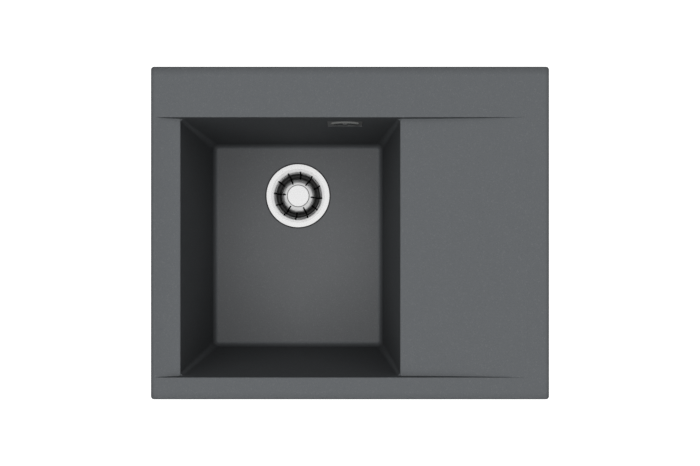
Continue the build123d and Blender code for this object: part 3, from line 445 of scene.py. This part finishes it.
def add_ridge(work, axis, root, height, pitch, low_z, high_z):
    """A helical ridge of trapezoid section about an upright axis, which runs out at both ends."""
    count = int((high_z - low_z) / pitch * THREAD_STEPS)
    run_out = THREAD_STEPS / 2
    rows = []
    for index in range(count + 1):
        angle = 2 * math.pi * index / THREAD_STEPS
        z = low_z + pitch * index / THREAD_STEPS
        crest = root + height * min(1.0, index / run_out, (count - index) / run_out)
        section = ((root, -THREAD_FOOT), (crest, -THREAD_CREST), (crest, THREAD_CREST), (root, THREAD_FOOT))
        row = []
        for radius, rise in section:
            x = axis.x + radius * math.cos(angle)
            y = axis.y + radius * math.sin(angle)
            row.append(work.verts.new((x, y, z + rise * pitch)))
        rows.append(row)
    for first, second in zip(rows, rows[1:]):
        for corner in range(4):
            following = (corner + 1) % 4
            work.faces.new((first[corner], second[corner], second[following], first[following]))
    work.faces.new(rows[0])
    work.faces.new(reversed(rows[-1]))


def slim_shank(work, axis, shank_r, core_r, low_z):
    """Draws the shank above a height in to the thread's core."""
    inner_r, outer_r = (share * shank_r for share in CLAMP_SHANK_BAND)
    for vertex in work.verts:
        away = (vertex.co.xy - axis.xy).length
        if vertex.co.z > low_z and inner_r < away < outer_r:
            vertex.co.xy = axis.xy + (vertex.co.xy - axis.xy) * core_r / away


def threaded_screw(number):
    """The clamp screw with its head as in the frame, a thinner core and a real thread."""
    node = f"clamp_screw_{number}"
    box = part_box(node)
    axis = middle(box)
    tip_z = box[1].z
    work = bmesh.new()
    work.from_mesh(NODES[node].data)
    tip = [vertex for vertex in work.verts if vertex.co.z > tip_z - CLAMP_TIP_DEPTH]
    shank_r = max((vertex.co.xy - axis.xy).length for vertex in tip)
    core_r = shank_r * CLAMP_CORE_SHARE
    head_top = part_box(f"clamp_washer_{number}")[0].z
    slim_shank(work, axis, shank_r, core_r, head_top - HAIR)
    root = core_r * CLAMP_ROOT_SHARE
    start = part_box(f"clamp_jaw_{number}")[0].z + CLAMP_THREAD_START
    add_ridge(work, axis, root, shank_r - root, CLAMP_THREAD_PITCH, start, tip_z - CLAMP_THREAD_TIP)
    piece = new_piece(f"screw_thread_{number}", work, "screw_steel", f"clamp_bolt_{number}")
    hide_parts(node)


def outlet_thread():
    """The pipe thread round the waste outlet."""
    outlet = next(mount for mount in frame["record"]["mounts"] if mount["name"] == "waste_outlet")
    root = outlet["dims"]["r_mm"] * MM - OUTLET_THREAD_SUNK
    foot_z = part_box("waste_body")[0].z
    start = foot_z + OUTLET_THREAD_MARGIN
    end = foot_z + outlet["dims"]["length_mm"] * MM - OUTLET_THREAD_MARGIN
    work = bmesh.new()
    add_ridge(work, Vector(outlet["pos_m"]), root, OUTLET_THREAD_HEIGHT, OUTLET_THREAD_PITCH, start, end)
    new_piece("outlet_thread", work, "white_plastic", "sink")


def studio_floor():
    """A pale floor at the object's lowest point. The camera sees it white, and it keeps the shadow."""
    look = Look("floor")
    path = look.node("ShaderNodeLightPath").outputs
    seen = look.maths("MAXIMUM", path["Is Camera Ray"], path["Is Glossy Ray"])
    seen = look.maths("MAXIMUM", seen, path["Is Transmission Ray"])
    strength = look.span(look.fade(look.around((0, 0, 0)), *STUDIO_GLOW_REACH), *STUDIO_GLOW)
    plain = look.node("ShaderNodeBsdfDiffuse", {"Color": (*STUDIO_COLOUR, 1.0)})
    glow = look.node("ShaderNodeEmission", {"Strength": look.maths("MULTIPLY", seen, strength)})
    both = look.node("ShaderNodeAddShader", {0: plain.outputs[0], 1: glow.outputs[0]})
    look.tree.links.new(both.outputs[0], look.output.inputs["Surface"])
    work = bmesh.new()
    bmesh.ops.create_grid(work, x_segments=8, y_segments=8, size=STUDIO_WIDTH / 2)
    piece = bpy.data.objects.new("floor", mesh_from(work, "floor"))
    piece.location.z = CAD_BOX[0][2]
    bpy.context.scene.collection.objects.link(piece)
    piece.data.materials.append(look.material)


def surroundings():
    """A white background for what is seen directly or mirrored, and a low even light for the rest."""
    world = bpy.data.worlds.new("studio")
    bpy.context.scene.world = world
    world.use_nodes = True
    nodes = world.node_tree.nodes
    link = world.node_tree.links.new
    nodes.clear()
    path = nodes.new("ShaderNodeLightPath").outputs
    seen = path["Is Camera Ray"]
    for ray in ("Is Glossy Ray", "Is Transmission Ray"):
        either = nodes.new("ShaderNodeMath")
        either.operation = "MAXIMUM"
        link(seen, either.inputs[0])
        link(path[ray], either.inputs[1])
        seen = either.outputs[0]
    mixed = nodes.new("ShaderNodeMixShader")
    link(seen, mixed.inputs[0])
    for index, strength in ((1, AMBIENT), (2, BACKGROUND)):
        background = nodes.new("ShaderNodeBackground")
        background.inputs["Color"].default_value = (1, 1, 1, 1)
        background.inputs["Strength"].default_value = strength
        link(background.outputs[0], mixed.inputs[index])
    output = nodes.new("ShaderNodeOutputWorld")
    link(mixed.outputs[0], output.inputs["Surface"])


def key_light():
    """One large soft light high overhead."""
    data = bpy.data.lights.new("overhead", "AREA")
    data.shape = "SQUARE"
    data.size = KEY_WIDTH
    data.energy = KEY_WATTS
    lamp = bpy.data.objects.new("overhead", data)
    lamp.location = (*KEY_SHIFT, RIM_TOP + KEY_ABOVE_RIM)
    lamp.visible_camera = False
    lamp.visible_glossy = False
    bpy.context.scene.collection.objects.link(lamp)


def camera():
    """Straight above the middle of the outline, with the back ledge at the top of the picture."""
    data = bpy.data.cameras.new("camera")
    data.lens = CAMERA_FOCAL_MM
    data.sensor_width = CAMERA_SENSOR_MM
    made = bpy.data.objects.new("camera", data)
    made.location = (0, 0, RIM_TOP + CAMERA_ABOVE_RIM)
    bpy.context.scene.collection.objects.link(made)
    bpy.context.scene.camera = made


camera()
surroundings()
key_light()
studio_floor()
dress_nodes()
for number in range(1, CLAMP_COUNT + 1):
    threaded_screw(number)
outlet_thread()
bpy.context.scene.view_settings.view_transform = "Standard"
